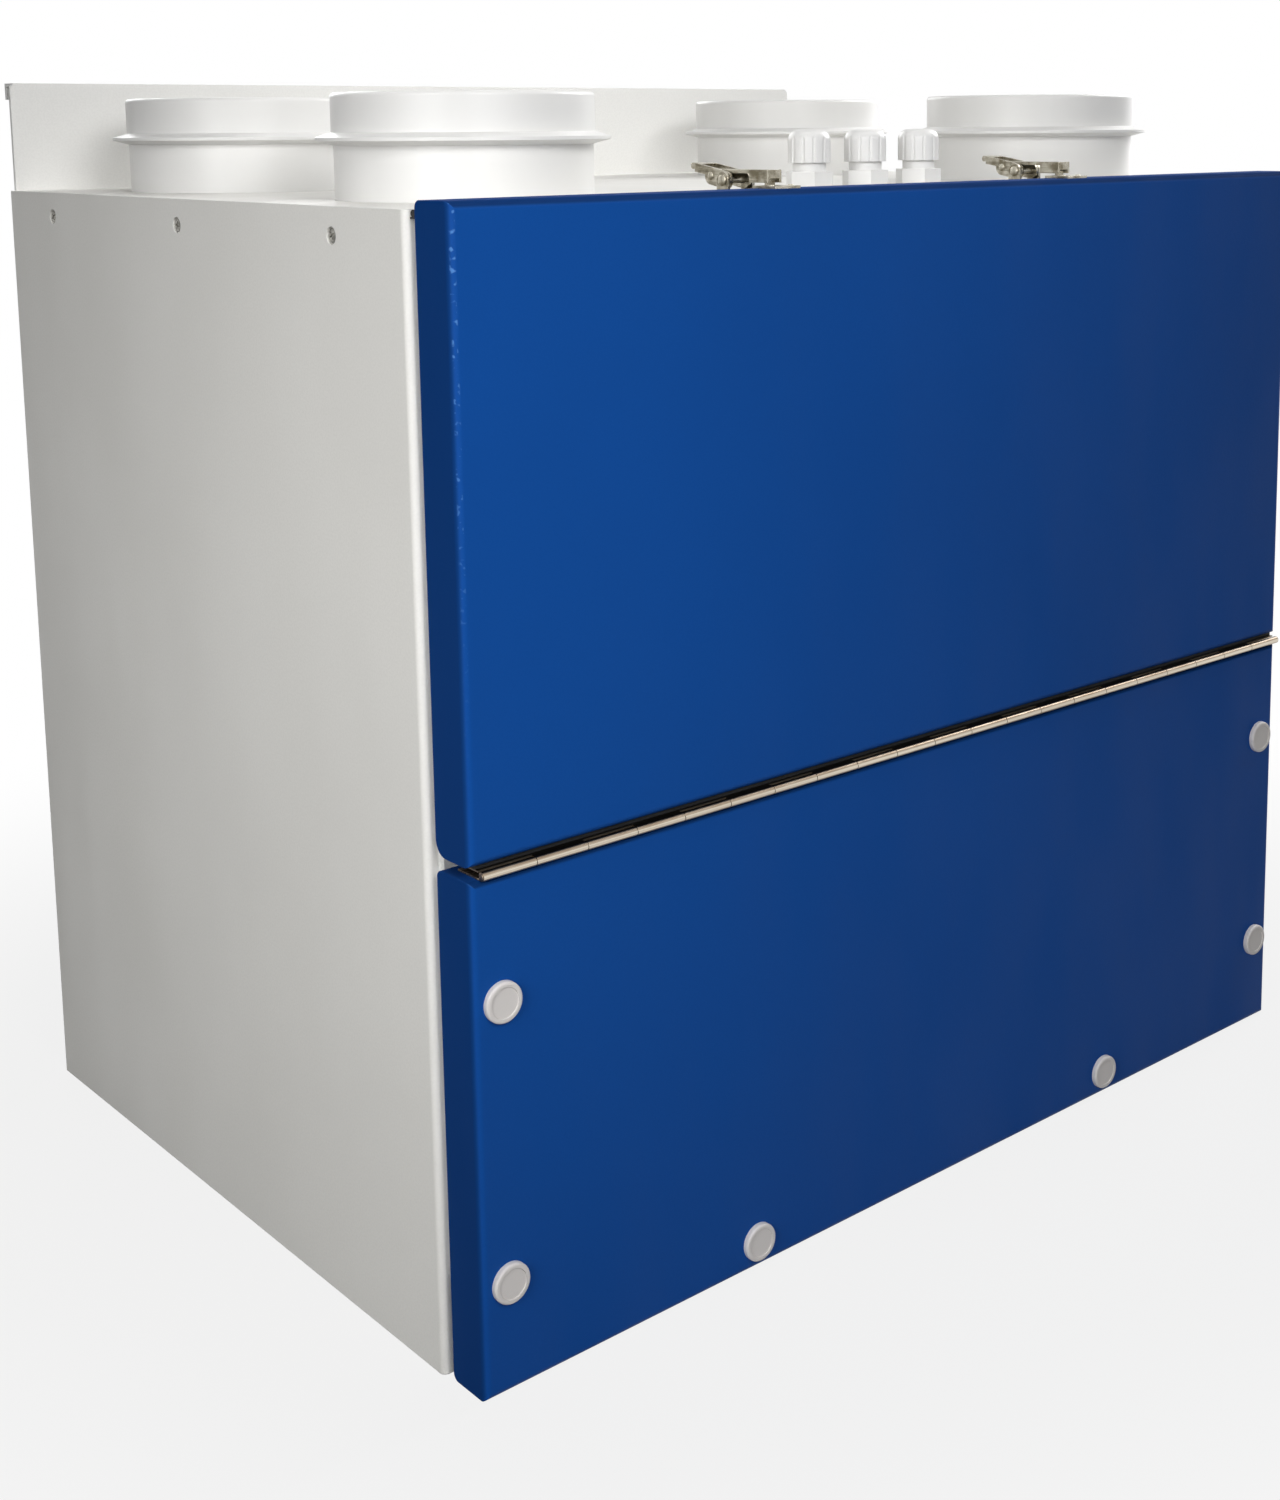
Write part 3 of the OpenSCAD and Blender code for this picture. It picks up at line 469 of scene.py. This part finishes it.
def lathe(name, profile, segments=32):
    """Closed solid of revolution about Z from (radius, height) points, both ends on the axis."""
    verts = [(0, 0, profile[0][1]), (0, 0, profile[-1][1])]
    rings = profile[1:-1]
    for radius, height in rings:
        for k in range(segments):
            turn = 2 * math.pi * k / segments
            verts.append((radius * math.cos(turn), radius * math.sin(turn), height))
    faces = []
    last = len(rings) - 1
    for k in range(segments):
        step = (k + 1) % segments
        faces.append((0, 2 + k, 2 + step))
        faces.append((1, 2 + last * segments + step, 2 + last * segments + k))
        for ring in range(last):
            low, high = 2 + ring * segments, 2 + (ring + 1) * segments
            faces.append((low + k, high + k, high + step, low + step))
    return mesh_from(name, verts, faces, smooth=True)


def prism(name, outline, axis_from, axis_to):
    """Closed solid: an outline of (y, z) points carried along X."""
    count = len(outline)
    verts = [(x, y, z) for x in (axis_from, axis_to) for y, z in outline]
    faces = [tuple(range(count)), tuple(range(2 * count - 1, count - 1, -1))]
    for k in range(count):
        step = (k + 1) % count
        faces.append((k, step, count + step, count + k))
    return mesh_from(name, verts, faces)


def cut(mesh, cutter):
    """The mesh with the cutter's volume taken out."""
    body = bpy.data.objects.new("cut_body", mesh)
    tool = bpy.data.objects.new("cut_tool", cutter)
    for item in (body, tool):
        bpy.context.scene.collection.objects.link(item)
    change = body.modifiers.new("cut", "BOOLEAN")
    change.operation = "DIFFERENCE"
    change.solver = "EXACT"
    change.object = tool
    bpy.context.view_layer.update()
    graph = bpy.context.evaluated_depsgraph_get()
    result = bpy.data.meshes.new_from_object(body.evaluated_get(graph))
    for item in (body, tool):
        bpy.data.objects.remove(item)
    return result


def facing(point, normal, spin=0.0):
    """Matrix that puts a piece's Z axis along normal at point, both in metres."""
    turn = Vector(normal).to_track_quat("Z", "Y").to_matrix().to_4x4()
    return Matrix.Translation(point) @ turn @ Matrix.Rotation(spin, 4, "Z")


def dome_profile(radius, height, steps=7, rim=0.25):
    """Profile of a domed head that stands on z 0, with a short straight rim."""
    points = [(0.0, 0.0), (radius, 0.0), (radius, rim * height)]
    for k in range(1, steps):
        turn = math.pi / 2 * k / steps
        rise = rim + (1 - rim) * math.sin(turn)
        points.append((radius * math.cos(turn), height * rise))
    points.append((0.0, height))
    return points


def domed_head(name, size):
    """Rivet or screw head from its radius and height in millimetres."""
    radius, height = size
    return lathe(name, dome_profile(radius * MM, height * MM))


def cross_screw(name, size):
    """Domed screw head with a cross recess cut into it."""
    radius, height = (length * MM for length in size)
    arm, half = CROSS_ARM * radius, CROSS_HALF * radius
    outline = [(-arm, -half), (-half, -half), (-half, -arm), (half, -arm),
               (half, -half), (arm, -half), (arm, half), (half, half),
               (half, arm), (-half, arm), (-half, half), (-arm, half)]
    cutter = prism(name + "_cut", outline, CROSS_FLOOR * height, 2 * height)
    axis_up = Matrix(((0, 1, 0, 0), (0, 0, 1, 0), (1, 0, 0, 0), (0, 0, 0, 1)))
    cutter.transform(axis_up)
    return cut(domed_head(name, size), cutter)


def side_screws():
    """Screws sunk in the three holes along the top edge of each side panel."""
    head = cross_screw("side_screw", SIDE_SCREW_HEAD)
    for side, sign in (("left", -1), ("right", 1)):
        low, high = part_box(side + "_side_panel")
        x = (low[0] if sign < 0 else high[0]) - sign * SHEET_T * MM
        for index, back in enumerate(SIDE_SCREW_BACK):
            point = (x, low[1] + back * MM, high[2] - SIDE_SCREW_DROP * MM)
            place = facing(point, (sign, 0, 0), SCREW_SPIN[0] + SCREW_SPIN[1] * index)
            name = f"side_screw_{side}_{index + 1}"
            add_piece(name, head.copy(), "casing", "zinc", place, SCREW_FINISH)


def bracket_rivets():
    """Row of rivets that holds the wall bracket to the back."""
    head = domed_head("bracket_rivet", BRACKET_RIVET_HEAD)
    low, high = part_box("wall_bracket")
    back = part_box("back_panel")[1][1] + BRACKET_T * MM
    first = low[0] + BRACKET_RIVET_END * MM
    pitch = (high[0] - low[0] - 2 * BRACKET_RIVET_END * MM) / (BRACKET_RIVETS - 1)
    for index in range(BRACKET_RIVETS):
        point = (first + index * pitch, back, low[2] + BRACKET_RIVET_UP * MM)
        place = facing(point, (0, 1, 0))
        add_piece(f"bracket_rivet_{index + 1}", head.copy(), "casing", "zinc", place)


def gasket_outline(middle_y, base_z):
    """Outline of the bulb gasket: a flat foot on base_z and a round bulb on it."""
    half, foot_t = (size * MM for size in GASKET_FOOT)
    foot_z = base_z + foot_t
    middle_z = foot_z + GASKET_R * MM
    outline = [(middle_y - half, foot_z), (middle_y - half, base_z)]
    outline += [(middle_y + half, base_z), (middle_y + half, foot_z)]
    start, sweep = GASKET_ARC
    for k in range(GASKET_STEPS + 1):
        turn = math.radians(start + sweep * k / GASKET_STEPS)
        outline.append((middle_y + GASKET_R * MM * math.cos(turn),
                        middle_z + GASKET_R * MM * math.sin(turn)))
    return outline


def top_gasket():
    """Black bulb gasket that closes the top of the gap behind the door."""
    low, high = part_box("door_seal")
    outline = gasket_outline((low[1] + high[1]) / 2, high[2])
    left, right = (corner[0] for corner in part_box("top_panel"))
    mesh = prism("top_gasket", outline, left + GASKET_END * MM, right - GASKET_END * MM)
    add_piece("top_gasket", mesh, "casing", "black_rubber")


def latch_fasteners(side):
    """Rivet heads of one toggle latch, each on the body that carries it."""
    low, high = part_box("latch_base_" + side)
    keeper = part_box("latch_keeper_" + side)[0]
    middle = (low[0] + high[0]) / 2
    pivot = (low[1] + LATCH_PIVOT[0] * MM, low[2] + LATCH_PIVOT[1] * MM)
    link = (pivot[0] + LATCH_LINK[0] * MM, pivot[1] + LATCH_LINK[1] * MM)
    plate = (high[1] - PLATE_IN * MM, low[2] + LATCH_SHEET_T * MM)
    seat = (keeper[1] + KEEPER_IN * MM, keeper[2] + LATCH_SHEET_T * MM)
    for hand, sign in (("a", -1), ("b", 1)):
        outward, upward = (sign, 0, 0), (0, 0, 1)
        for name, size, out, place, normal, body in (
                ("latch_pivot", PIVOT_HEAD, PIVOT_OUT, pivot, outward, "casing"),
                ("latch_pin", PIN_HEAD, PIN_OUT, link, outward, "lever_" + side),
                ("latch_rivet", PLATE_HEAD, PLATE_OUT, plate, upward, "casing"),
                ("keeper_rivet", KEEPER_HEAD, KEEPER_OUT, seat, upward, "door")):
            matrix = facing((middle + sign * out * MM, *place), normal)
            add_piece(f"{name}_{side}_{hand}", domed_head(name, size), body, "zinc", matrix)


def pleat_mesh(name, low, high, base, out):
    """Closed zigzag between two (y, z) corners, rising from x base along out."""
    folds = int((high[0] - low[0]) / (PLEAT_PITCH * MM))
    pitch = (high[0] - low[0]) / folds
    verts, faces = [], []
    for k in range(2 * folds + 1):
        crest = base + out * (PLEAT_RISE if k % 2 else PLEAT_VALLEY) * MM
        y = low[0] + k * pitch / 2
        for x, z in ((base, low[1]), (base, high[1]), (crest, high[1]), (crest, low[1])):
            verts.append((x, y, z))
    for k in range(2 * folds):
        for j in range(4):
            here, step = 4 * k + j, 4 * k + (j + 1) % 4
            faces.append((here, step, step + 4, here + 4))
    faces.append((0, 1, 2, 3))
    faces.append(tuple(8 * folds + j for j in (3, 2, 1, 0)))
    return mesh_from(name, verts, faces)


def filter_pleats(side):
    """Pleated medium in the recess on both faces of a filter cassette."""
    low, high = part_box("filter_" + side)
    edge, dish = FILTER_EDGE * MM, FILTER_DISH * MM
    start = (low[1] + edge, low[2] + edge)
    end = (high[1] - edge, high[2] - edge)
    for face, base, out in (("inner", high[0] - dish, 1), ("outer", low[0] + dish, -1)):
        name = f"filter_pleats_{side}_{face}"
        add_piece(name, pleat_mesh(name, start, end, base, out), "casing", "filter_medium")


def core_frame():
    """Folded end frame on the front of the exchanger."""
    low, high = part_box("exchanger_core")
    middle_z = (low[2] + high[2]) / 2
    outer = (high[0] - low[0]) / 2
    inner = outer - CORE_FRAME_W * MM * math.sqrt(2)
    back = low[1]
    front = back - CORE_FRAME_T * MM
    verts = []
    for reach, y in ((outer, back), (outer, front), (inner, front), (inner, back)):
        verts += [(reach, y, middle_z), (0, y, middle_z + reach),
                  (-reach, y, middle_z), (0, y, middle_z - reach)]
    faces = []
    for ring in range(4):
        here, beyond = 4 * ring, 4 * ((ring + 1) % 4)
        for k in range(4):
            step = (k + 1) % 4
            faces.append((here + k, here + step, beyond + step, beyond + k))
    mesh = mesh_from("exchanger_end_frame", verts, faces)
    add_piece("exchanger_end_frame", mesh, "casing", "core_aluminium")


def light_paths(nodes, links):
    """1 for rays that see the background: camera, glossy and transmission rays."""
    path = nodes.new("ShaderNodeLightPath")
    total = path.outputs["Is Camera Ray"]
    for name in ("Is Glossy Ray", "Is Transmission Ray"):
        either = nodes.new("ShaderNodeMath")
        either.operation = "MAXIMUM"
        links.new(total, either.inputs[0])
        links.new(path.outputs[name], either.inputs[1])
        total = either.outputs[0]
    return total


def floor_fade(nodes, links):
    """Share of white in the floor: it rises with the distance from the object."""
    place = nodes.new("ShaderNodeTexCoord")
    away = nodes.new("ShaderNodeVectorMath")
    away.operation = "LENGTH"
    links.new(place.outputs["Object"], away.inputs[0])
    fade = nodes.new("ShaderNodeMapRange")
    fade.interpolation_type = "SMOOTHSTEP"
    fade.inputs["From Min"].default_value = FLOOR_FADE[0]
    fade.inputs["From Max"].default_value = FLOOR_FADE[1]
    fade.inputs["To Min"].default_value = FLOOR_LIFT
    links.new(away.outputs["Value"], fade.inputs["Value"])
    share = nodes.new("ShaderNodeMath")
    share.operation = "MULTIPLY"
    links.new(fade.outputs["Result"], share.inputs[0])
    links.new(light_paths(nodes, links), share.inputs[1])
    return share.outputs[0]


def floor_material():
    """Pale floor that keeps the shadow near the object and fades to white away from it."""
    material = bpy.data.materials.new("floor")
    material.use_nodes = True
    nodes, links = material.node_tree.nodes, material.node_tree.links
    shader = nodes["Principled BSDF"]
    shader.inputs["Base Color"].default_value = FLOOR_COLOUR
    shader.inputs["Roughness"].default_value = FLOOR_ROUGH
    shader.inputs["Specular IOR Level"].default_value = 0.0
    glow = nodes.new("ShaderNodeEmission")
    glow.inputs["Color"].default_value = WHITE
    mixed = nodes.new("ShaderNodeMixShader")
    links.new(floor_fade(nodes, links), mixed.inputs[0])
    links.new(shader.outputs[0], mixed.inputs[1])
    links.new(glow.outputs[0], mixed.inputs[2])
    links.new(mixed.outputs[0], nodes["Material Output"].inputs["Surface"])
    return material


def add_floor():
    """Plain floor on z 0; it is stage, not part of the object."""
    half = FLOOR_HALF
    verts = [(-half, -half, 0), (half, -half, 0), (half, half, 0), (-half, half, 0)]
    mesh = bpy.data.meshes.new("floor")
    mesh.from_pydata(verts, [], [(0, 1, 2, 3)])
    mesh.materials.append(floor_material())
    floor = bpy.data.objects.new("floor", mesh)
    bpy.context.scene.collection.objects.link(floor)


def add_world():
    """Even ambient light; white where the background itself is seen."""
    world = bpy.data.worlds.new("studio")
    world.use_nodes = True
    nodes, links = world.node_tree.nodes, world.node_tree.links
    sky = nodes["Background"]
    sky.inputs["Color"].default_value = WHITE
    level = nodes.new("ShaderNodeMapRange")
    level.inputs["To Min"].default_value = WORLD_LEVEL
    links.new(light_paths(nodes, links), level.inputs["Value"])
    links.new(level.outputs["Result"], sky.inputs["Strength"])
    bpy.context.scene.world = world


def add_lamps():
    """Soft round lamps, each turned to its target."""
    for name, (place, target, size, power, spread) in LAMPS.items():
        data = bpy.data.lights.new(name, "AREA")
        data.shape = "DISK"
        data.size = size
        data.energy = power
        data.spread = math.radians(spread)
        lamp = bpy.data.objects.new(name, data)
        bpy.context.scene.collection.objects.link(lamp)
        lamp.location = place
        aim = Vector(target) - Vector(place)
        lamp.rotation_euler = aim.to_track_quat("-Z", "Y").to_euler()


def add_camera():
    """Camera at the photo's viewing angle."""
    data = bpy.data.cameras.new("camera")
    data.sensor_width = CAMERA_SENSOR
    data.lens = CAMERA_LENS
    data.shift_x, data.shift_y = CAMERA_SHIFT
    camera = bpy.data.objects.new("camera", data)
    bpy.context.scene.collection.objects.link(camera)
    camera.location = CAMERA_PLACE
    camera.rotation_euler = [math.radians(turn) for turn in CAMERA_TURN]
    bpy.context.scene.camera = camera


add_camera()
add_world()
add_lamps()
add_floor()
dress_nodes()
side_screws()
bracket_rivets()
top_gasket()
core_frame()
for hand in ("left", "right"):
    latch_fasteners(hand)
    filter_pleats(hand)

bpy.context.scene.view_settings.view_transform = "Standard"
